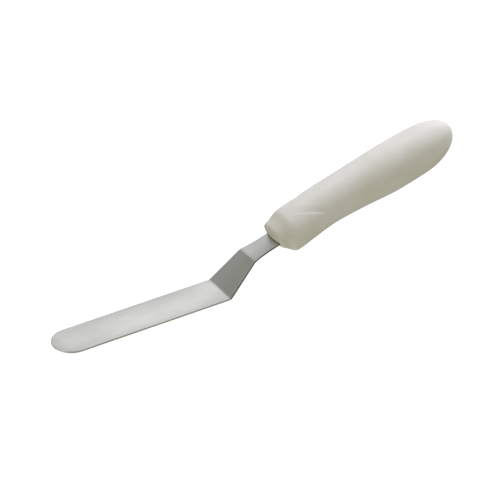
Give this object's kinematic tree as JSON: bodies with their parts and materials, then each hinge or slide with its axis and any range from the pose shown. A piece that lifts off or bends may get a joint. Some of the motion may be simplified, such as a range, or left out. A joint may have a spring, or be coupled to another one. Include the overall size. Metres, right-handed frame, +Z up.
{
  "type": "palette knife",
  "caption": "Small offset palette knife: a round-tipped spring steel blade on a stepped neck, with a moulded plastic handle shaped for finger and thumb.",
  "frame": {"origin": "centre of the knife's footprint, at the height of the blade's underside", "axes": "+X from the blade's tip to the butt of the handle, +Y across the blade, +Z up and square to the blade's face"},
  "size_m": [0.2166, 0.0196, 0.0528],
  "materials": {
    "spring_steel": "fine satin grind along the strip",
    "white_plastic": "satin moulded surface, slightly yellowed white"
  },
  "bodies": {
    "root": {"blade_and_tang": "spring_steel", "handle": "white_plastic"}
  },
  "joints": []
}
